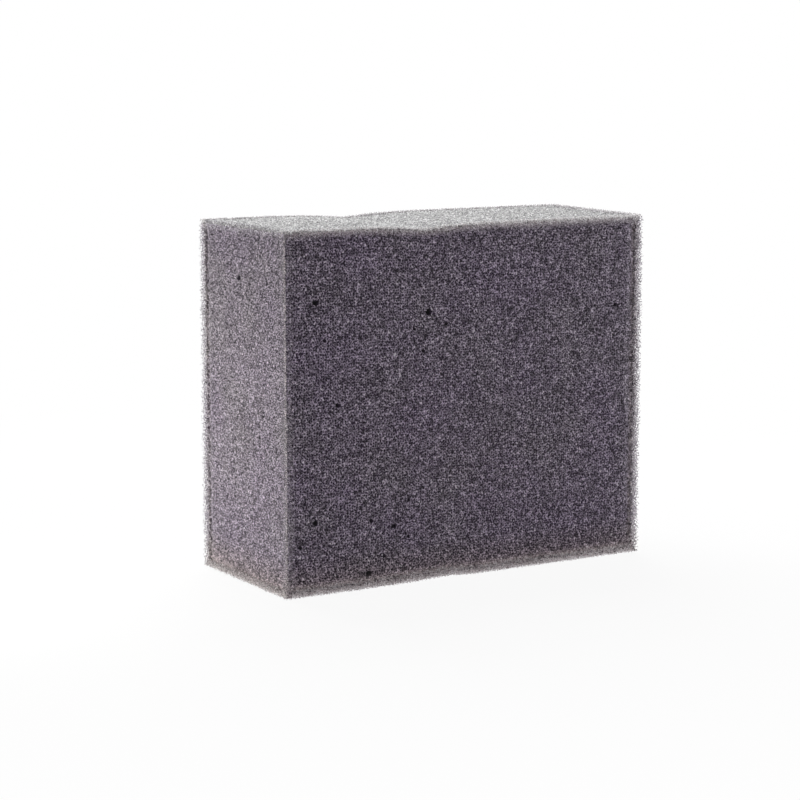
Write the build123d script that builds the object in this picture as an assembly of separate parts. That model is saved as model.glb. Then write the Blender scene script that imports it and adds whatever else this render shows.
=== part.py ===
from build123d import *
import math
import os
import random

# Applicator sponge: one block of open-cell polyurethane foam, sawn on all six sides.
# +X runs along its length, +Y from the front face to the back face, and +Z is up.
# The origin is the middle of its footprint, on the surface that it stands on.

# Driving dimensions, in millimetres and degrees
BACK_LENGTH = 120.0  # along X at the back face, the longer of the two
THICKNESS = 48.5  # along Y, from front face to back face
HEIGHT = 100.0
LEFT_SKEW = 1.6  # how far out of square the saw left each end, seen from above
RIGHT_SKEW = 2.4
EDGE_RADIUS = 0.6  # sawn foam crumbles at its edges, so none stays sharp

# The block was nipped across its middle, which left a crease over the top and a low arch
# underneath. A flank on each side of either eases out into the flat foam.
CREASE_X = -14.2
CREASE_DEPTH = 1.1
CREASE_LEFT_RUN = 25.0
CREASE_RIGHT_RUN = 23.0
ARCH_X = -6.5
ARCH_HEIGHT = 0.6
ARCH_LEFT_RUN = 26.0
ARCH_RIGHT_RUN = 11.0
NIP_RADIUS = 3.0  # at the bottom of the crease and the crown of the arch

# Pinholes: cells far larger than the rest, laid open by the saw. Cells press each other into
# many-sided shapes, so a pinhole is a tapered pit with flat sides.
PINHOLE_SIDES = 7
PINHOLE_DEPTH = 0.9
PINHOLE_TAPER = 18.0
PINHOLE_LEAD = 0.5  # how far outside its side a pit starts, to cut cleanly where that is skewed
FRONT_PINHOLES = [  # X, Z and the width of the mouth
    (-14.0, 76.4, 1.7),
    (-49.2, 80.3, 1.5),
    (-49.6, 20.3, 1.5),
    (-33.1, 4.2, 1.6),
    (-25.1, 16.8, 1.4),
    (-46.6, 69.9, 1.4),
    (-20.3, 23.6, 1.3),
    (-42.7, 51.9, 1.3),
    (-32.4, 19.0, 1.3),
    (-15.5, 65.4, 1.3),
    (-54.5, 13.9, 1.2),
    (49.0, 74.4, 1.2),
    (-18.4, 71.7, 1.2),
    (-28.3, 8.6, 1.2),
    (-55.1, 62.4, 1.1),
    (25.1, 86.9, 1.1),
    (-20.3, 13.1, 1.1),
    (-8.1, 72.4, 1.1),
    (-54.9, 54.8, 1.1),
    (-7.0, 43.1, 1.1),
    (-52.9, 25.6, 1.0),
    (13.3, 47.1, 1.0),
]
# The back and the two ends have pinholes of the same kind, scattered at random.
BACK_PINHOLES = 16
END_PINHOLES = 6  # on each end
LEAST_PINHOLE, LARGEST_PINHOLE = 1.0, 1.6
PINHOLE_MARGIN = 4.0  # from the middle of a scattered pinhole to the edge of its side
PINHOLE_SEED = 7

FRONT_Y, BACK_Y = -THICKNESS / 2, THICKNESS / 2
LEFT, RIGHT = -1, 1


def end_x(side, y):
    """X of the left or right end at Y. The ends splay outwards from front to back."""
    skew = LEFT_SKEW if side == LEFT else RIGHT_SKEW
    return side * (BACK_LENGTH / 2 - (BACK_Y - y) * math.tan(math.radians(skew)))


def footprint():
    """The block seen from above."""
    corners = [(LEFT, FRONT_Y), (RIGHT, FRONT_Y), (RIGHT, BACK_Y), (LEFT, BACK_Y)]
    return make_face(Polyline(*[(end_x(side, y), y) for side, y in corners], close=True))


def nip(x, z, depth, left_run, right_run):
    """The nipped stretch of a side at level z: two arcs that leave the level at a tangent
    and meet in a tip, depth above the level or, where depth is negative, below it."""
    tip = (x, z + depth)
    return [
        TangentArc((x - left_run, z), tip, tangent=(1, 0)),
        TangentArc((x + right_run, z), tip, tangent=(-1, 0)),
    ]


def front_outline():
    """The block seen from the front, overlong, so that the footprint alone sets its length."""
    overlong = BACK_LENGTH
    crease = nip(CREASE_X, HEIGHT, -CREASE_DEPTH, CREASE_LEFT_RUN, CREASE_RIGHT_RUN)
    arch = nip(ARCH_X, 0, ARCH_HEIGHT, ARCH_LEFT_RUN, ARCH_RIGHT_RUN)
    right_side = Polyline(
        (ARCH_X + ARCH_RIGHT_RUN, 0),
        (overlong, 0),
        (overlong, HEIGHT),
        (CREASE_X + CREASE_RIGHT_RUN, HEIGHT),
    )
    left_side = Polyline(
        (CREASE_X - CREASE_LEFT_RUN, HEIGHT),
        (-overlong, HEIGHT),
        (-overlong, 0),
        (ARCH_X - ARCH_LEFT_RUN, 0),
    )
    outline = make_face([*arch, *right_side.edges(), *crease, *left_side.edges()])
    tips = outline.vertices().filter_by(
        lambda corner: any(abs(corner.X - x) < 1e-6 for x in (CREASE_X, ARCH_X))
    )
    return fillet(tips, NIP_RADIUS)


def sawn_block():
    """The block with its edges crumbled round, before any pinhole."""
    across = extrude(Plane.XZ * front_outline(), THICKNESS, both=True)
    block = extrude(footprint(), HEIGHT) & across
    ends = block.faces().sort_by(Axis.X)
    faces = block.faces().sort_by(Axis.Y)
    upright = (ends[0], ends[-1], faces[0], faces[-1])
    return fillet({edge for side in upright for edge in side.edges()}, EDGE_RADIUS)


def pinhole(x, y, z, inward, width, turn):
    """The pit of one pinhole, with its mouth on a side."""
    spread = PINHOLE_LEAD * math.tan(math.radians(PINHOLE_TAPER))
    start = Plane((x, y, z), z_dir=inward).offset(-PINHOLE_LEAD)
    outline = Rot(0, 0, turn) * RegularPolygon(width / 2 + spread, PINHOLE_SIDES)
    return extrude(start * outline, PINHOLE_DEPTH + PINHOLE_LEAD, taper=PINHOLE_TAPER)


def pinholes():
    """The pits of all the pinholes."""
    chance = random.Random(PINHOLE_SEED)

    def place(low, high):
        return chance.uniform(low + PINHOLE_MARGIN, high - PINHOLE_MARGIN)

    def width():
        return chance.uniform(LEAST_PINHOLE, LARGEST_PINHOLE)

    def turn():
        return chance.uniform(0, 360)

    pits = [pinhole(x, FRONT_Y, z, (0, 1, 0), wide, turn()) for x, z, wide in FRONT_PINHOLES]
    for _ in range(BACK_PINHOLES):
        x, z = place(end_x(LEFT, BACK_Y), end_x(RIGHT, BACK_Y)), place(0, HEIGHT)
        pits.append(pinhole(x, BACK_Y, z, (0, -1, 0), width(), turn()))
    for side in (LEFT, RIGHT):
        for _ in range(END_PINHOLES):
            y, z = place(FRONT_Y, BACK_Y), place(0, HEIGHT)
            pits.append(pinhole(end_x(side, y), y, z, (-side, 0, 0), width(), turn()))
    return pits


foam_block = sawn_block() - pinholes()
foam_block.label = "foam_block"

os.makedirs("parts", exist_ok=True)
export_step(foam_block, "parts/foam_block.step")
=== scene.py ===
import math
import random

import bpy
import numpy as np
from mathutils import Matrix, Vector


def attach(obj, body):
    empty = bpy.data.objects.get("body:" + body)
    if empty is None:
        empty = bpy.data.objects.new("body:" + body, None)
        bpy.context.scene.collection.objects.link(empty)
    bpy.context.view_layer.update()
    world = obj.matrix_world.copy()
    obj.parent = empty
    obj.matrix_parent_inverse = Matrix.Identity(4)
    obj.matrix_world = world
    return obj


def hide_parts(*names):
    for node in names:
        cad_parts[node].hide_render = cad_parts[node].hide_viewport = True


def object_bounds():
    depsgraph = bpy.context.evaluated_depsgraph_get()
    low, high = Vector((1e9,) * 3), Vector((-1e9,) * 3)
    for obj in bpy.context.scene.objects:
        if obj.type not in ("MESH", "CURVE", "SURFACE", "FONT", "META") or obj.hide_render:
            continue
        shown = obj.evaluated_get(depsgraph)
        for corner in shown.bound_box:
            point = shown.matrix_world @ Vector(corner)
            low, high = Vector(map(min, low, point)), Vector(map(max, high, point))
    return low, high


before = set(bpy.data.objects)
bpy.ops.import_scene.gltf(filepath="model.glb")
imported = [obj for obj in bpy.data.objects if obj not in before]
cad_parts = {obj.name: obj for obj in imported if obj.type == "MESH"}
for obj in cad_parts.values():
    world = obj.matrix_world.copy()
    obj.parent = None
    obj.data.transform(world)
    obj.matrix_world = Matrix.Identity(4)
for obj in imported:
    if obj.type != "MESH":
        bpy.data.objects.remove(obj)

# An applicator sponge: one block of open-cell polyurethane foam, sawn on all six sides. Its
# sides are made cell by cell: each cell that the saw opened is a pit with a ridge of struts
# round it. Along the block's edges, where light passes through real foam, the struts
# themselves are made, a few cells deep. Lengths are in millimetres until a mesh is made.

cad_low, cad_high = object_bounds()

MM = 0.001
SEED = 5

# The block, as in the part
BACK_LENGTH, THICKNESS, HEIGHT = [side / MM for side in cad_high - cad_low]
LEFT_SKEW, RIGHT_SKEW = 1.6, 2.4
CREASE = dict(x=-14.2, depth=1.1, left_run=25.0, right_run=23.0)
ARCH = dict(x=-6.5, depth=0.6, left_run=26.0, right_run=11.0)

LOW = np.array([-BACK_LENGTH / 2, -THICKNESS / 2, 0.0])
HIGH = np.array([BACK_LENGTH / 2, THICKNESS / 2, HEIGHT])
SIDES = {  # the axis that a side lies across, and its end of it
    "left": (0, -1), "right": (0, 1),
    "front": (1, -1), "back": (1, 1),
    "foot": (2, -1), "top": (2, 1),
}

# The foam's skin
CELL = 0.75  # from the middle of one open cell to the next
CELL_SHIFT = 0.38  # how far a cell is off its place in a plain grid, at most, in cells
CELL_DEPTH = (0.25, 0.6)  # from the saw's level down to the bottom of a pit
RIDGE_DROP, RIDGE_SPREAD = 0.05, 0.1  # how far below that level the ridges are
SLAB_CUTS = (-25.0, 25.0)  # its mesh is in three slabs, cut at these X
SLAB_MARGIN = 1.0  # the last slab goes on this far past the right end, to have the end too
MAP_GAP = 2.0  # between the sides of a slab on its flat map
CUT_SHARE = 0.04  # how large the closed cuts are on the map

# Towards an edge of the block the skin sinks below the saw's level: how deep it is at the
# edge, and from how far off it sinks. An edge has the larger numbers of its two sides. The
# rows are for the left, front and foot, and for the right, back and top.
SINK_DEPTHS = np.array([(0.22, 0.22, 1.2), (1.35, 1.35, 0.5)])
SINK_RUNS = np.array([(4.0, 4.0, 3.5), (5.0, 5.0, 4.0)])
LEAST_SINK, DEEPEST_SINK = 0.3, SINK_DEPTHS.max()  # for struts to stand there
EDGE_TEAR, EDGE_WEAR = 0.6, 0.25  # how unevenly the skin is torn there, and how far worn down
WORN_CELL, EDGE_CELL = 0.5, 0.3  # how deep cells still are where it is most worn, and on an edge

# The struts that stand on the skin there
STRUT_CELL = 1.0
STRUT_WIDTH = (0.15, 0.3)
STRUT_OVERLAP = 0.25  # how far a strut runs on past its nodes, in widths
STRUT_REACH = (1.6, 2.7)  # how far from the edge the last ones stand
STRUT_ROOT = 0.35  # how deep in the skin a strut may be
STRUT_SHARE = 0.7  # of the deepest sink: less than that, and some struts are left out
STRUT_STEPS = [(1, 1, 0), (1, -1, 0), (1, 0, 1), (1, 0, -1), (0, 1, 1), (0, 1, -1)]
STRUT_MARGIN = 1.0  # how far outside the block there are struts for the saw to cut

# Real cells are uneven. Two waves shift the struts' nodes along each axis, by their place on
# another: how many axes on that is, the wave's length and where it starts on each
WAVES = [(1, 7.3, (0.3, 1.7, 4.1)), (2, 4.9, (2.3, 0.7, 5.1))]
WAVE_SHIFT, NODE_SHIFT = 0.35, 0.1  # how far a wave and chance shift a node, at most

# From how far to how far outside the plain box the saw left a strut, and the share of that on
# each low and each high side: none below the foot
RAGGED = (-0.3, 0.6)
LOW_RAGGED, HIGH_RAGGED = np.array([1, 1, 0]), np.array([1, 1, 0.3])
LEAST_STUB = 0.05  # of a strut that the saw cut

# How the struts look, by the way that their edge runs: how much painted edge light they have,
# to the skin under them, and how bright, where the upright ones are darker with painted shade
STRUT_LOOKS = {"long": (0.7, 1), "short": (0.6, 1), "upright": (0.05, 0.72)}
# so they carry some of the pits' painted shade
STRUT_HEIGHT = (-0.3, 0.05)  # they are coloured like the skin at these heights

# Each point's own lightness, which differs at random, and the few with a painted glint
TONES = (0.4, 1.6)
GLINT_SHARE, GLINT = 0.03, 1.8
END_EVENNESS = 0.2  # the cells on the ends are more alike: this share of the difference is left

# How much paler the foam is painted along the edges, with the light that comes through it
# there: on which side, towards which edge, how much at the edge, and from how far off
PAINTED_EDGE_LIGHT = [
    ("front", "right", 1.6, 4.0), ("front", "top", 1.0, 3.0), ("front", "foot", 2.6, 4.0),
    ("left", "front", 0.5, 2.0), ("left", "back", 0.7, 3.5), ("left", "foot", 0.7, 3.5),
    ("back", "left", 0.4, 1.8), ("back", "right", 0.3, 3.0),
    ("back", "top", 0.3, 3.0), ("back", "foot", 0.3, 3.0),
    ("right", "front", 0.8, 1.8), ("right", "back", 0.3, 3.0),
    ("right", "top", 0.3, 3.0), ("right", "foot", 0.3, 3.0),
]
TOP_SHEEN_REACH = 0.8  # the struts this near the top have the painted top sheen

# Pinholes, as in the part: X and Z of each on the front, and its width
FRONT_PINHOLES = [
    (-14.0, 76.4, 1.7), (-49.2, 80.3, 1.5), (-49.6, 20.3, 1.5), (-33.1, 4.2, 1.6),
    (-25.1, 16.8, 1.4), (-46.6, 69.9, 1.4), (-20.3, 23.6, 1.3), (-42.7, 51.9, 1.3),
    (-32.4, 19.0, 1.3), (-15.5, 65.4, 1.3), (-54.5, 13.9, 1.2), (49.0, 74.4, 1.2),
    (-18.4, 71.7, 1.2), (-28.3, 8.6, 1.2), (-55.1, 62.4, 1.1), (25.1, 86.9, 1.1),
    (-20.3, 13.1, 1.1), (-8.1, 72.4, 1.1), (-54.9, 54.8, 1.1), (-7.0, 43.1, 1.1),
    (-52.9, 25.6, 1.0), (13.3, 47.1, 1.0),
]
BACK_PINHOLES, END_PINHOLES = 16, 6  # how many are on the back, and on each end
LEAST_PINHOLE, LARGEST_PINHOLE = 1.0, 1.6  # the widths of those
PINHOLE_DEPTH = 1.3
PINHOLE_MARGIN = 4  # those keep this far from the edges
PINHOLE_SEED = 7
# the bottom of a pinhole is painted dark with its shade
PINHOLE_SHADE = 0.05  # how light the bottom of one is

# The cell nearest to a pinhole is moved onto it, and pulls along the skin this near
PINHOLE_PULL = 2.5
PINHOLE_WALL = 0.265  # how far out its wall is, for a pinhole 1 mm wide

# In shares of that, the points between the core and the wall go to the foot of it, and those
# in the ring outside it are drawn together between its top and the ring's rim
WALL_CORE, WALL_FOOT, WALL_TOP, WALL_RING = 0.5, 0.85, 1.2, 1.6

# Colours
RIDGE_MAUVE, RIDGE_NEUTRAL, RIDGE_FOOT = "#b2a8ba", "#b0a9b4", "#b9acb0"
# the pits' colours are painted shade, far darker than the foam's own
PIT_SHADE_MAUVE, PIT_SHADE_NEUTRAL, PIT_SHADE_FOOT = "#2c2033", "#2b2230", "#2c2428"
# the top's ridges are painted grey with the sheen of light grazing it
RIDGE_TOP_SHEEN = "#b2b2b1"
# the colour of the painted light that comes through the edges
EDGE_LIGHT_COLOUR = "#efe5e0"
PALEST = 0.85  # no foam is brighter than this
DYE_PATCH = 25.0  # the coarsest patches in the dye; most are half as wide
DYE_SPLIT = (0.38, 0.62)  # from where its noise is neutral to where it is mauve
# the foot's browner colours are painted bounce light from the floor
FOOT_BROWN, FOOT_BROWNEST = 11.0, 1.0  # how far up the foot's brown begins, and is full
# below the light height the skin is painted darker with shade, most at the dark height
DARK_HEIGHT, LIGHT_HEIGHT = -0.35, 0.05  # the heights on the skin that are darkest and lightest
SAW_DRAG = (1.0, 0.5, 1.2)  # the saw drags the cut struts out, level and across the ends

# The cut struts' width in the colour and in the gloss. Real ones are 0.1 mm wide, too fine to
# show. They are light and dark by turns, from the lows of a noise to its highs: painted glints on
# the struts and painted shade between them
SPECKLE, GRAIN = 0.35, 0.25
SPECKLE_NOISE, SPECKLE_LIGHT = (0.34, 0.66), (0.15, 1.85)
ROUGHNESS = (0.2, 0.8)  # of a smooth strut and of a torn one

# The camera: degrees round from the front and up, what it is aimed at, how far off it is and
# its lens
CAMERA_TURN, CAMERA_RISE = -30.32, 9.04
CAMERA_AIM = (-7.08, 3.37, 46.94)
CAMERA_AWAY = 639.2
LENS = 99.23

# The lamps: place, size, how bright each makes a white surface that faces it, and colour
LAMPS = {
    "overhead_softbox": ((60, 340, 560), 450, 1.34, "#ffffff"),
    "left_panel": ((-165, 20, 36), 60, 0.29, "#fffff3"),
    "front_softbox": ((250, -350, 50), 150, 0.03, "#f0e8ff"),
    "right_panel": ((300, -45, 60), 120, 0.34, "#ffffff"),
}
ROOM_LEVEL, ROOM_TINT = 0.072, "#f0e8ff"
FLOOR_LEVEL, FLOOR_TINT = 0.58, "#faf2f6"
FLOOR_PAINT = "#f2f2f2"
FLOOR_HALF = 3000.0  # from its middle to its edge

# The board's own glow hides its paint, and the shadow on it, less near the block than further
# off: from how far off it begins to hide more, and from how far off it hides all
SHADOW_GLOW = 0.93
SHADOW_FROM, SHADOW_TO = 100.0, 300.0


def end_x(side, y):
    """X of the left (-1) or right (1) end at Y."""
    skew = LEFT_SKEW if side < 0 else RIGHT_SKEW
    return side * (BACK_LENGTH / 2 - (THICKNESS / 2 - y) * math.tan(math.radians(skew)))


def nip_depth(x, nip):
    """How deep a nip is at X: two flanks that start level and meet at its middle."""
    flank = np.where(x < nip["x"], nip["left_run"], nip["right_run"])
    away = np.abs(x - nip["x"]) / flank
    return nip["depth"] * np.clip(1 - away, 0, 1) ** 2


def shaped(points):
    """Points of a plain box, moved to where they are in the real block: its ends are out of
    square, it is nipped across its middle, and what hangs from its foot is pressed flat."""
    x, y, z = points.T
    share = (x - LOW[0]) / BACK_LENGTH
    left, right = end_x(-1, y), end_x(1, y)
    x = left + share * (right - left)
    up = z / HEIGHT
    z = z - nip_depth(x, CREASE) * up**2 + nip_depth(x, ARCH) * (1 - up) ** 2
    return np.stack([x, y, np.maximum(z, 0)], -1)


def sink(points):
    """How far the skin is below the saw's level at each point, for the sides across X, Y and Z.
    It is sunk along the block's edges, where single struts are in its place."""
    low, high = points - LOW, HIGH - points
    gap = np.minimum(low, high)
    end = (high < low).astype(int)
    depth, run = SINK_DEPTHS[end, range(3)], SINK_RUNS[end, range(3)]
    sinks = []
    for side in range(3):
        others = [axis for axis in range(3) if axis != side]
        deepest = np.maximum(depth[:, others], depth[:, [side]])
        longest = np.maximum(run[:, others], run[:, [side]])
        sinks.append((deepest * np.clip(1 - gap[:, others] / longest, 0, 1)).max(1))
    return np.stack(sinks, 1)


def way_out(flat):
    """The way out of the plain box at points on its sides."""
    out = (flat >= HIGH - 1e-6).astype(float) - (flat <= LOW + 1e-6)
    return out / np.linalg.norm(out, axis=1, keepdims=True)


def pinholes():
    """Middle and width of each pinhole, on the plain box. The numbers are drawn in the part's
    order, so that they come out the same, with a turn for each pinhole that has no use here."""
    chance = random.Random(PINHOLE_SEED)
    found = []
    left, right = end_x(-1, LOW[1]), end_x(1, LOW[1])
    for x, z, width in FRONT_PINHOLES:
        share = (x - left) / (right - left)
        found.append(((LOW[0] + share * BACK_LENGTH, LOW[1], z), width))
        chance.uniform(0, 360)
    low, high = LOW + PINHOLE_MARGIN, HIGH - PINHOLE_MARGIN
    for _ in range(BACK_PINHOLES):
        x = chance.uniform(low[0], high[0])
        z = chance.uniform(low[2], high[2])
        found.append(((x, HIGH[1], z), chance.uniform(LEAST_PINHOLE, LARGEST_PINHOLE)))
        chance.uniform(0, 360)
    for end in (LOW[0], HIGH[0]):
        for _ in range(END_PINHOLES):
            y = chance.uniform(low[1], high[1])
            z = chance.uniform(low[2], high[2])
            found.append(((end, y, z), chance.uniform(LEAST_PINHOLE, LARGEST_PINHOLE)))
            chance.uniform(0, 360)
    return found


def box_triangles(chance):
    """A box of jittered points about a cell apart, and triangles between them."""
    counts = np.round((HIGH - LOW) / CELL).astype(int)
    grid = np.stack(np.meshgrid(*[np.arange(n + 1) for n in counts], indexing="ij"), -1)
    outside = ((grid == 0) | (grid == counts)).any(-1)
    index = np.full(outside.shape, -1)
    index[outside] = np.arange(outside.sum())
    steps = grid[outside].astype(float)
    free = (steps > 0) & (steps < counts)
    steps += np.where(free, chance.uniform(-CELL_SHIFT, CELL_SHIFT, steps.shape), 0)
    points = LOW + steps / counts * (HIGH - LOW)
    triangles = []
    for axis in range(3):
        for far in (0, -1):
            side = index.take(far, axis=axis)
            corners = [side[:-1, :-1], side[1:, :-1], side[1:, 1:], side[:-1, 1:]]
            if (axis == 1) == (far == -1):
                corners.reverse()  # so that its faces face out
            a, b, c, d = [corner.ravel() for corner in corners]
            ac = np.linalg.norm(points[a] - points[c], axis=1)
            bd = np.linalg.norm(points[b] - points[d], axis=1)
            short = (ac < bd)[:, None]
            triangles.append(np.where(short, np.stack([a, b, c], 1), np.stack([a, b, d], 1)))
            triangles.append(np.where(short, np.stack([a, c, d], 1), np.stack([b, c, d], 1)))
    return points, np.concatenate(triangles)


def cell_faces(triangles, count):
    """The skin's triangles. Each point of the box is a cell, each triangle is a junction of
    struts, and two triangles lie along each strut, one in the cell on each side of it. A
    face's first point is its cell."""
    start = triangles.ravel()
    end = np.roll(triangles, -1, axis=1).ravel()
    owner = np.repeat(np.arange(len(triangles)), 3)
    key = start * count + end
    order = np.argsort(key)
    once = start < end
    a, b = start[once], end[once]
    left = owner[once] + count
    right = owner[order[np.searchsorted(key[order], b * count + a)]] + count
    return np.concatenate([np.stack([a, right, left], 1), np.stack([b, left, right], 1)])


def opened(flat, count):
    """The skin's points moved apart round each pinhole, so that its wall is round, and which
    points are at the bottom of one."""
    flat = flat.copy()
    bottom = np.zeros(len(flat), bool)
    for middle, width in pinholes():
        axis = int(np.argmax(np.isclose(middle, LOW) | np.isclose(middle, HIGH)))
        middle, wall = np.array(middle), PINHOLE_WALL * width**2
        on_side = np.isclose(flat[:, axis], middle[axis])
        away = np.where(on_side, np.linalg.norm(flat - middle, axis=1), np.inf)
        nearest = flat[np.argmin(away[:count])]
        flat += (middle - nearest) * np.clip(1 - away / PINHOLE_PULL, 0, 1)[:, None]

        away = np.where(on_side, np.linalg.norm(flat - middle, axis=1) / wall, np.inf)
        wanted = away.copy()
        wanted[(away > WALL_CORE) & (away < 1)] = WALL_FOOT
        outside = (away >= 1) & (away < WALL_RING)
        squeeze = (WALL_RING - WALL_TOP) / (WALL_RING - 1)
        wanted[outside] = WALL_TOP + (away[outside] - 1) * squeeze
        moved = wanted != away
        flat[moved] += (flat[moved] - middle) * (wanted[moved] / away[moved] - 1)[:, None]
        bottom |= away < 1
    return flat, bottom


def paleness(flat, out):
    """How much paler the foam is at each point, with painted light through the edges, where
    out is the way out of the block.
    """
    edge_light = np.zeros(len(flat))
    for side, edge, amount, run in PAINTED_EDGE_LIGHT:
        axis, end = SIDES[side]
        on_side = out[:, axis] * end > 0
        axis, end = SIDES[edge]
        gap = (HIGH - flat if end > 0 else flat - LOW)[:, axis]
        edge_light = np.maximum(edge_light, on_side * amount * np.clip(1 - gap / run, 0, 1) ** 2)
    return np.clip(edge_light, 0, 1)


def tones(chance, count):
    """Each point's own lightness, with a painted glint on a few."""
    tone_and_painted_light = chance.uniform(*TONES, count)
    return np.where(chance.uniform(0, 1, count) < GLINT_SHARE, tone_and_painted_light * GLINT, tone_and_painted_light)


def foam_skin():
    """Points of the sawn sides, on the plain box and as they are, their faces, and each
    point's height above the saw's level, tone with painted glints and pinhole shade, painted
    edge light and painted top sheen."""
    chance = np.random.default_rng(SEED)
    cells, triangles = box_triangles(chance)
    count = len(cells)
    faces = cell_faces(triangles, count)
    flat, bottom = opened(np.concatenate([cells, cells[triangles].mean(1)]), count)
    out = way_out(flat)
    on_side = out != 0
    sinks = sink(flat)
    worn = (sinks * on_side).max(1) / DEEPEST_SINK
    pit = -chance.uniform(*CELL_DEPTH, count) * (1 - (1 - WORN_CELL) * worn[:count])
    on_edge = on_side[:count].sum(1) > 1
    pit[on_edge] *= EDGE_CELL
    ridge = chance.normal(-RIDGE_DROP, RIDGE_SPREAD, len(triangles))
    height = np.concatenate([pit, ridge])
    height[bottom] = -PINHOLE_DEPTH
    torn = (chance.normal(0, EDGE_TEAR, len(flat)) - EDGE_WEAR) * worn
    tone_and_painted_light = tones(chance, len(flat))
    tone_and_painted_light = np.where(on_side[:, 0], 1 + (tone_and_painted_light - 1) * END_EVENNESS, tone_and_painted_light)
    # painted shade at the bottom of each pinhole
    tone_and_painted_light[bottom] = PINHOLE_SHADE
    points = flat - np.sign(out) * sinks + out * (height + torn)[:, None]
    # painted sheen on the top
    top_sheen = np.clip(out[:, 2], 0, 1)
    looks = {"height": height, "tone_and_painted_light": tone_and_painted_light, "edge_light": paleness(flat, out), "top_sheen": top_sheen}
    return flat, points, faces, looks


def rim_fan(faces, points, cut, hub):
    """Faces from a slab's rim near one cut to a point in the middle of it, the hub."""
    start = faces.ravel()
    end = np.roll(faces, -1, axis=1).ravel()
    size = len(points)
    alone = ~np.isin(start * size + end, end * size + start)
    alone &= np.abs(points[start, 0] - cut) < 3 * CELL  # not on the rim at the other cut
    return np.stack([end[alone], start[alone], np.full(alone.sum(), hub)], 1)


def unfolded(corners, slab_low, slab_high):
    """Where faces' corners lie on a flat map of a slab's sides, in a square from 0 to 1. Front,
    back and end stand in a row, with the foot and the top in the row above."""
    middle = corners.mean(1)
    side = np.stack([middle - LOW, HIGH - middle], 2).reshape(-1, 6).argmin(1)
    x, y, z = (corners - (slab_low, LOW[1], 0)).transpose(2, 0, 1)
    across, up = np.empty(x.shape), np.empty(x.shape)
    layout = [  # left, right, front, back, foot and top: across, up, column and row
        (y, z, 2, 0), (y, z, 2, 0), (x, z, 0, 0), (x, z, 1, 0), (x, y, 0, 1), (x, y, 1, 1),
    ]
    for number, (u, v, column, row) in enumerate(layout):
        own = side == number
        across[own] = u[own] + column * (slab_high - slab_low + MAP_GAP)
        up[own] = v[own] + row * (HEIGHT + MAP_GAP)
    return np.stack([across, up], -1).reshape(-1, 2) / (HEIGHT + THICKNESS + 2 * MAP_GAP)


def mesh_piece(name, points, faces, places, looks):
    """A mesh object from points in millimetres and triangles, with places on a flat map for
    the triangles' corners, and looks for the points."""
    mesh = bpy.data.meshes.new(name)
    mesh.vertices.add(len(points))
    mesh.vertices.foreach_set("co", (points * MM).astype(np.float32).ravel())
    mesh.loops.add(faces.size)
    mesh.loops.foreach_set("vertex_index", faces.astype(np.int32).ravel())
    mesh.polygons.add(len(faces))
    mesh.polygons.foreach_set("loop_start", np.arange(0, faces.size, 3, dtype=np.int32))
    mesh.polygons.foreach_set("loop_total", np.full(len(faces), 3, np.int32))
    mesh.update(calc_edges=True)
    flat_map = mesh.uv_layers.new(name="OFBake")
    flat_map.uv.foreach_set("vector", places.astype(np.float32).ravel())
    for label, values in looks.items():
        layer = mesh.attributes.new(label, "FLOAT", "POINT")
        layer.data.foreach_set("value", values.astype(np.float32))
    piece = bpy.data.objects.new(name, mesh)
    bpy.context.scene.collection.objects.link(piece)
    return piece


def skin_pieces():
    """The skin as three slabs, each closed where it meets the next."""
    flat, points, faces, looks = foam_skin()
    first_hub = len(points)
    hubs = np.array([(cut, 0, HEIGHT / 2) for cut in SLAB_CUTS])
    flat, points = np.concatenate([flat, hubs]), np.concatenate([points, hubs])
    looks = {label: np.append(values, np.zeros(len(hubs))) for label, values in looks.items()}
    cell_x = flat[faces[:, 0], 0]
    cuts = (LOW[0], *SLAB_CUTS, HIGH[0] + SLAB_MARGIN)
    pieces = []
    for number, (low, high) in enumerate(zip(cuts, cuts[1:]), 1):
        own = faces[(cell_x >= low) & (cell_x < high)]
        places = [unfolded(flat[own], low, high)]
        fans = []
        for hub, cut in enumerate(SLAB_CUTS, first_hub):
            if cut in (low, high):
                fan = rim_fan(own, points, cut, hub)
                fans.append(fan)
                # in the map's free corner
                places.append(1 - points[fan][..., 1:].reshape(-1, 2) / HEIGHT * CUT_SHARE)
        own, places = np.concatenate([own, *fans]), np.concatenate(places)
        used, own = np.unique(own, return_inverse=True)
        pieces.append(mesh_piece(
            f"foam_slab_{number}", shaped(points[used]), own.reshape(-1, 3), places,
            {label: values[used] for label, values in looks.items()},
        ))
    return pieces


def is_node(places):
    """Space filled with 14-sided cells has a node wherever one coordinate is odd, one is a
    multiple of 4 and the last is 2 more than one, if a quarter of a cell is the unit."""
    rest = np.sort(np.where(places % 2, 1, places % 4), axis=1)
    return (rest == (0, 1, 2)).all(1)


def nodes_near_edges():
    """Whole-number places of the struts' nodes, near the block's edges."""
    unit = STRUT_CELL / 4
    reach = SINK_RUNS.max()
    found = []
    for axis in range(3):
        others = [other for other in range(3) if other != axis]
        for ends in ((0, 0), (0, 1), (1, 0), (1, 1)):
            low, high = LOW - STRUT_MARGIN, HIGH + STRUT_MARGIN
            for other, end in zip(others, ends):
                if end:
                    low[other] = HIGH[other] - reach
                else:
                    high[other] = LOW[other] + reach
            runs = [np.arange(int(a // unit), int(b // unit) + 1) for a, b in zip(low, high)]
            found.append(np.stack(np.meshgrid(*runs, indexing="ij"), -1).reshape(-1, 3))
    found = np.unique(np.concatenate(found), axis=0)
    return found[is_node(found)]


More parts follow.
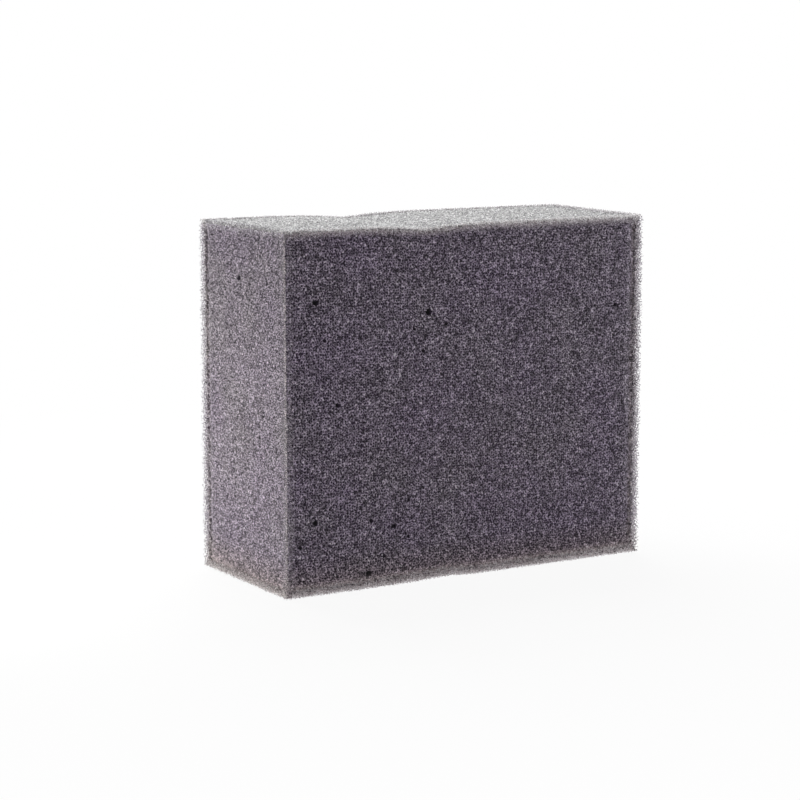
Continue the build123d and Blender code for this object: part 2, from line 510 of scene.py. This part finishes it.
def whole_struts(chance):
    """Both ends of each strut near the block's edges, as the foam grew."""
    nodes = nodes_near_edges()
    pairs = []
    for step in STRUT_STEPS:
        other = nodes + np.array(step)
        good = is_node(other)
        pairs.append(np.stack([nodes[good], other[good]], 1))
    places, ends = np.unique(np.concatenate(pairs).reshape(-1, 3), axis=0, return_inverse=True)
    spots = places * (STRUT_CELL / 4)
    shift = chance.uniform(-NODE_SHIFT, NODE_SHIFT, spots.shape)
    for axes_on, length, start in WAVES:
        turn = np.roll(spots, -axes_on, axis=1) * (2 * math.pi / length)
        shift += WAVE_SHIFT * np.sin(turn + start)
    return (spots + shift)[ends.reshape(-1)].reshape(-1, 2, 3)


def cut_by_saw(ends, chance):
    """What the saw left of the struts: the end of each inside the block, and its other end,
    which is on a side where the saw cut it."""
    ragged = chance.uniform(*RAGGED, (len(ends), 1))
    low, high = LOW - ragged * LOW_RAGGED, HIGH + ragged * HIGH_RAGGED
    inside = ((ends >= low[:, None]) & (ends <= high[:, None])).all(2)
    flip = ~inside[:, 0] & inside[:, 1]
    ends[flip] = ends[flip][:, ::-1]
    kept = inside.any(1)
    ends, low, high = ends[kept], low[kept], high[kept]
    a, b = ends[:, 0], ends[:, 1]
    run = b - a
    run = np.where(np.abs(run) < 1e-9, 1e-9, run)
    wall = np.where(run > 0, high, low)
    share = np.clip(((wall - a) / run).min(1), LEAST_STUB, 1)
    return a, a + run * share[:, None]


def above_skin(points):
    """How far points are above the sunken skin."""
    return (sink(points) - np.minimum(points - LOW, HIGH - points)).max(1)


def foam_struts(chance):
    """Both ends of each strut that is to be seen on the skin. They thin out where it is sunk
    less, and away from the edges."""
    a, b = cut_by_saw(whole_struts(chance), chance)
    above = np.stack([above_skin(a), above_skin(b)])
    seen = (above.max(0) > 0) & (above.min(0) > -STRUT_ROOT)
    depth = sink(a).max(1)
    least = DEEPEST_SINK * chance.uniform(0, STRUT_SHARE, len(a))
    seen &= (depth > LEAST_SINK) & (depth > least)
    middle = (a + b) / 2
    from_edge = np.sort(np.minimum(middle - LOW, HIGH - middle), axis=1)[:, 1]
    seen &= from_edge < chance.uniform(*STRUT_REACH, len(a))
    return a[seen], b[seen]


def strut_mesh(a, b, width, chance):
    """Closed four-sided slivers, wide across one way at one end and the other way at the
    other, as a strut is thick at its nodes and thin between them."""
    run = b - a
    run = run / np.linalg.norm(run, axis=1, keepdims=True)
    across = np.cross(run, chance.normal(size=run.shape))
    across /= np.linalg.norm(across, axis=1, keepdims=True)
    over = np.cross(run, across)
    width = width[:, None]
    a, b = a - run * width * STRUT_OVERLAP, b + run * width * STRUT_OVERLAP
    across, over = across * width / 2, over * width / 2
    points = np.stack([a + across, a - across, b + over, b - over], 1)
    faces = np.array([(0, 1, 2), (1, 0, 3), (0, 2, 3), (1, 3, 2)])
    first = np.arange(len(a))[:, None, None] * 4
    return points.reshape(-1, 3), (first + faces).reshape(-1, 3)


def strut_places(count):
    """A small square of the flat map for each strut: where its four points lie."""
    rows = math.ceil(math.sqrt(count))
    number = np.arange(count)[:, None]
    square = np.stack([number % rows, number // rows], -1)
    corners = np.array([(0.1, 0.1), (0.9, 0.9), (0.9, 0.1), (0.1, 0.9)])
    return ((square + corners) / rows).reshape(-1, 2)


def strut_pieces():
    """The struts, in a piece for the edges that run each way."""
    chance = np.random.default_rng(SEED + 1)
    a, b = foam_struts(chance)
    # a strut's edge runs the way that the strut is furthest from the ends of
    along = np.argmax(np.minimum(a - LOW, HIGH - a), axis=1)
    pieces = []
    for axis, (edges, (edge_light, bright)) in enumerate(STRUT_LOOKS.items()):
        own = along == axis
        count = own.sum()
        width = chance.uniform(*STRUT_WIDTH, count)
        points, faces = strut_mesh(a[own], b[own], width, chance)
        middle = (a[own] + b[own]) / 2
        reach = STRUT_REACH[1]
        out = (HIGH - middle < reach).astype(float) - (middle - LOW < reach)
        # edge light is painted light through the edges, and the upright struts' lower brightness is
        # painted shade
        looks = {
            "height": chance.uniform(*STRUT_HEIGHT, count),
            "tone_and_painted_light": bright * tones(chance, count),
            "edge_light": edge_light * paleness(middle, out),
            "top_sheen": (middle[:, 2] > HEIGHT - TOP_SHEEN_REACH).astype(float),
        }
        pieces.append(mesh_piece(
            f"{edges}_edge_struts", shaped(points), faces, strut_places(count)[faces.ravel()],
            {label: np.repeat(values, 4) for label, values in looks.items()},
        ))
    return pieces


def linear(hex_colour):
    """An sRGB hex colour as linear RGBA."""
    parts = [int(hex_colour[k : k + 2], 16) / 255 for k in (1, 3, 5)]
    return [c / 12.92 if c <= 0.04045 else ((c + 0.055) / 1.055) ** 2.4 for c in parts] + [1]


def add(tree, kind, links=None, inputs=None, **settings):
    """Adds a node. links gives its inputs' sources and inputs their plain values."""
    node = tree.nodes.new(kind)
    for name, value in settings.items():
        setattr(node, name, value)
    for name, value in (inputs or {}).items():
        node.inputs[name].default_value = value
    for name, source in (links or {}).items():
        tree.links.new(source, node.inputs[name])
    return node


# A colour Mix node's sockets
MIX_A, MIX_B, MIXED = 6, 7, 2


def ridge_and_pit_colours(tree, place):
    """The foam's own colour on the ridges, and painted shade in the pits. The dye took as mauve
    in some patches and neutral in others, the foot is browner with painted bounce light from the
    floor, and the top's ridges are grey with painted sheen."""
    patches = add(
        tree, "ShaderNodeTexNoise", {"Vector": place},
        {"Scale": 1 / (DYE_PATCH * MM), "Detail": 4.0, "Roughness": 0.6},
    ).outputs["Fac"]
    mauve = add(
        tree, "ShaderNodeMapRange", {"Value": patches},
        {"From Min": DYE_SPLIT[0], "From Max": DYE_SPLIT[1]},
    ).outputs["Result"]
    # browner towards the foot: painted bounce light from the floor
    up = add(tree, "ShaderNodeSeparateXYZ", {"Vector": place}).outputs["Z"]
    foot = add(
        tree, "ShaderNodeMapRange", {"Value": up},
        {"From Min": FOOT_BROWN * MM, "From Max": FOOT_BROWNEST * MM},
    ).outputs["Result"]
    found = []
    for neutral, tinted, brown in (
        (RIDGE_NEUTRAL, RIDGE_MAUVE, RIDGE_FOOT), (PIT_SHADE_NEUTRAL, PIT_SHADE_MAUVE, PIT_SHADE_FOOT),
    ):
        dyed = add(
            tree, "ShaderNodeMix", {"Factor": mauve},
            {MIX_A: linear(neutral), MIX_B: linear(tinted)}, data_type="RGBA",
        ).outputs[MIXED]
        found.append(add(
            tree, "ShaderNodeMix", {"Factor": foot, MIX_A: dyed},
            {MIX_B: linear(brown)}, data_type="RGBA",
        ).outputs[MIXED])
    ridge, pit = found
    # the top's ridges are painted grey: painted sheen of light grazing it
    top_sheen = add(tree, "ShaderNodeAttribute", attribute_name="top_sheen").outputs["Fac"]
    ridge = add(
        tree, "ShaderNodeMix", {"Factor": top_sheen, MIX_A: ridge},
        {MIX_B: linear(RIDGE_TOP_SHEEN)}, data_type="RGBA",
    ).outputs[MIXED]
    return ridge, pit


def foam_colour(tree, place):
    """From the painted shade of the pits to the foam's own colour on the ridges, paler along the
    block's edges with the painted light that comes through them.
    """
    ridge, pit = ridge_and_pit_colours(tree, place)
    # the pits are painted dark with their shade
    height = add(tree, "ShaderNodeAttribute", attribute_name="height").outputs["Fac"]
    level = add(
        tree, "ShaderNodeMapRange", {"Value": height},
        {"From Min": DARK_HEIGHT, "From Max": LIGHT_HEIGHT}, interpolation_type="SMOOTHSTEP",
    ).outputs["Result"]
    colour = add(
        tree, "ShaderNodeMix", {"Factor": level, MIX_A: pit, MIX_B: ridge}, data_type="RGBA",
    ).outputs[MIXED]
    # painted light that comes through the edges
    edge_light = add(tree, "ShaderNodeAttribute", attribute_name="edge_light").outputs["Fac"]
    return add(
        tree, "ShaderNodeMix", {"Factor": edge_light, MIX_A: colour},
        {MIX_B: linear(EDGE_LIGHT_COLOUR)}, data_type="RGBA",
    ).outputs[MIXED]


def speckled(tree, place, colour):
    """The colour with each cell's own lightness, and with the cut struts on it, painted as glints
    with shade between them.
    """
    drawn_out = add(
        tree, "ShaderNodeMapping", {"Vector": place}, {"Scale": SAW_DRAG},
    ).outputs["Vector"]
    struts = add(
        tree, "ShaderNodeTexNoise", {"Vector": drawn_out},
        {"Scale": 1 / (SPECKLE * MM), "Detail": 1.0},
    ).outputs["Fac"]
    speckle = add(
        tree, "ShaderNodeMapRange", {"Value": struts},
        {
            "From Min": SPECKLE_NOISE[0], "From Max": SPECKLE_NOISE[1],
            "To Min": SPECKLE_LIGHT[0], "To Max": SPECKLE_LIGHT[1],
        },
    ).outputs["Result"]
    tone_and_painted_light = add(tree, "ShaderNodeAttribute", attribute_name="tone_and_painted_light").outputs["Fac"]
    light = add(
        tree, "ShaderNodeMath", {0: tone_and_painted_light, 1: speckle}, operation="MULTIPLY",
    ).outputs["Value"]
    colour = add(
        tree, "ShaderNodeVectorMath", {0: colour, 1: light}, operation="MULTIPLY",
    ).outputs["Vector"]
    return add(
        tree, "ShaderNodeVectorMath", {0: colour}, {1: [PALEST] * 3}, operation="MINIMUM",
    ).outputs["Vector"]


def foam(name, through):
    """Open-cell polyurethane foam, dyed through. Its struts are matt with a dull gleam, some
    smooth and some torn. through is how much of the light goes into them."""
    material = bpy.data.materials.new(name)
    material.use_nodes = True
    tree = material.node_tree
    tree.nodes.clear()
    place = add(tree, "ShaderNodeTexCoord").outputs["Object"]
    colour = speckled(tree, place, foam_colour(tree, place))
    grain = add(
        tree, "ShaderNodeTexNoise", {"Vector": place},
        {"Scale": 1 / (GRAIN * MM), "Detail": 2.0},
    ).outputs["Fac"]
    roughness = add(
        tree, "ShaderNodeMapRange", {"Value": grain},
        {"To Min": ROUGHNESS[0], "To Max": ROUGHNESS[1]},
    ).outputs["Result"]
    bump = add(
        tree, "ShaderNodeBump", {"Height": grain}, {"Strength": 0.6, "Distance": 0.05 * MM},
    ).outputs["Normal"]
    surface = add(
        tree, "ShaderNodeBsdfPrincipled",
        {"Base Color": colour, "Roughness": roughness, "Normal": bump},
        {
            "IOR": 1.5, "Specular IOR Level": 0.12, "Sheen Weight": 0.15, "Sheen Roughness": 0.6,
            "Subsurface Weight": through, "Subsurface Radius": (1, 1, 1),
            "Subsurface Scale": 0.5 * MM,
        },
    ).outputs["BSDF"]
    add(tree, "ShaderNodeOutputMaterial", {"Surface": surface})
    return material


def sawn_foam():
    """Polyurethane foam cut with a saw: ridges that catch the light round pits painted with their
    shade, so that a flat side looks grainy and grey from a step away."""
    return foam("sawn_polyurethane_foam", through=0.0)


def torn_foam():
    """Polyurethane foam whose cells are torn open: single struts, so thin that light goes
    through them, which give the block a soft outline, painted pale with that light."""
    return foam("torn_polyurethane_foam", through=1.0)


def camera():
    """A small product camera, low and to the left of the front."""
    turn, rise = math.radians(CAMERA_TURN), math.radians(CAMERA_RISE)
    level = math.cos(rise)
    back = Vector((math.sin(turn) * level, -math.cos(turn) * level, math.sin(rise)))
    lens = bpy.data.cameras.new("camera")
    lens.lens = LENS
    lens.clip_start = 0.05
    holder = bpy.data.objects.new("camera", lens)
    holder.location = (Vector(CAMERA_AIM) + back * CAMERA_AWAY) * MM
    holder.rotation_euler = back.to_track_quat("Z", "Y").to_euler()
    bpy.context.scene.collection.objects.link(holder)
    bpy.context.scene.camera = holder


def softbox(name, place, size, level, colour):
    """A square lamp aimed at the middle of the block."""
    lamp = bpy.data.lights.new(name, "AREA")
    lamp.color = linear(colour)[:3]
    place = Vector(place) * MM
    aim = Vector((0, 0, HEIGHT / 2)) * MM
    away = place - aim
    lamp.size = size * MM
    lamp.energy = level * math.pi**2 * away.length_squared
    holder = bpy.data.objects.new(name, lamp)
    holder.visible_camera = False
    holder.location = place
    holder.rotation_euler = away.to_track_quat("Z", "Y").to_euler()
    bpy.context.scene.collection.objects.link(holder)


def white_when_seen(tree, tint):
    """1 for the camera and for reflections, and 0 for the light on the object, and with it
    the colour there: white where it is seen, and the tint in the light that it gives."""
    path = add(tree, "ShaderNodeLightPath").outputs
    seen = add(
        tree, "ShaderNodeMath", {0: path["Is Camera Ray"], 1: path["Is Glossy Ray"]},
        operation="MAXIMUM",
    ).outputs["Value"]
    seen = add(
        tree, "ShaderNodeMath", {0: seen, 1: path["Is Transmission Ray"]}, operation="MAXIMUM",
    ).outputs["Value"]
    colour = add(
        tree, "ShaderNodeMix", {"Factor": seen}, {MIX_A: linear(tint), MIX_B: (1, 1, 1, 1)},
        data_type="RGBA",
    ).outputs[MIXED]
    return seen, colour


def white_room():
    """A white room, which is dimmer in the light that it gives than it looks."""
    world = bpy.data.worlds.new("white_room")
    world.use_nodes = True
    tree = world.node_tree
    tree.nodes.clear()
    seen, colour = white_when_seen(tree, ROOM_TINT)
    strength = add(
        tree, "ShaderNodeMapRange", {"Value": seen}, {"To Min": ROOM_LEVEL, "To Max": 1.0},
    ).outputs["Result"]
    light = add(
        tree, "ShaderNodeBackground", {"Strength": strength, "Color": colour},
    ).outputs["Background"]
    add(tree, "ShaderNodeOutputWorld", {"Surface": light})
    return world


def painted_floor():
    """White painted board, matt, lit from beneath, so that it looks as white as the room and
    the block's shadow on it stays faint."""
    material = bpy.data.materials.new("white_painted_board")
    material.use_nodes = True
    tree = material.node_tree
    tree.nodes.clear()
    seen, colour = white_when_seen(tree, FLOOR_TINT)
    paint = add(tree, "ShaderNodeBsdfDiffuse", None, {"Color": linear(FLOOR_PAINT)}).outputs["BSDF"]
    glow = add(
        tree, "ShaderNodeEmission", {"Color": colour}, {"Strength": 1.0},
    ).outputs["Emission"]
    place = add(tree, "ShaderNodeTexCoord").outputs["Object"]
    away = add(tree, "ShaderNodeVectorMath", {0: place}, operation="LENGTH").outputs["Value"]
    share = add(
        tree, "ShaderNodeMapRange", {"Value": away},
        {"From Min": SHADOW_FROM * MM, "From Max": SHADOW_TO * MM, "To Min": SHADOW_GLOW},
    ).outputs["Result"]
    share = add(
        tree, "ShaderNodeMapRange", {"Value": seen, "To Max": share}, {"To Min": FLOOR_LEVEL},
    ).outputs["Result"]
    both = add(tree, "ShaderNodeMixShader", {"Fac": share, 1: paint, 2: glow}).outputs["Shader"]
    add(tree, "ShaderNodeOutputMaterial", {"Surface": both})
    return material


def studio():
    """A white room with soft boxes above and round it, and a floor that shows white."""
    scene = bpy.context.scene
    scene.view_settings.view_transform = "Standard"
    scene.world = white_room()
    for name, lamp in LAMPS.items():
        softbox(name, *lamp)
    half = FLOOR_HALF * MM
    mesh = bpy.data.meshes.new("floor")
    corners = [(-half, -half, 0), (half, -half, 0), (half, half, 0), (-half, half, 0)]
    mesh.from_pydata(corners, [], [(0, 1, 2, 3)])
    mesh.materials.append(painted_floor())
    floor = bpy.data.objects.new("floor", mesh)
    scene.collection.objects.link(floor)


camera()
skins, struts = skin_pieces(), strut_pieces()
sawn, torn = sawn_foam(), torn_foam()
for piece in skins:
    piece.data.materials.append(sawn)
for piece in struts:
    piece.data.materials.append(torn)
    # light goes through them, so that they hardly shade each other
    piece.visible_shadow = False
    piece.visible_diffuse = False
for piece in skins + struts:
    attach(piece, "root")
    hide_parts("foam_block")
studio()
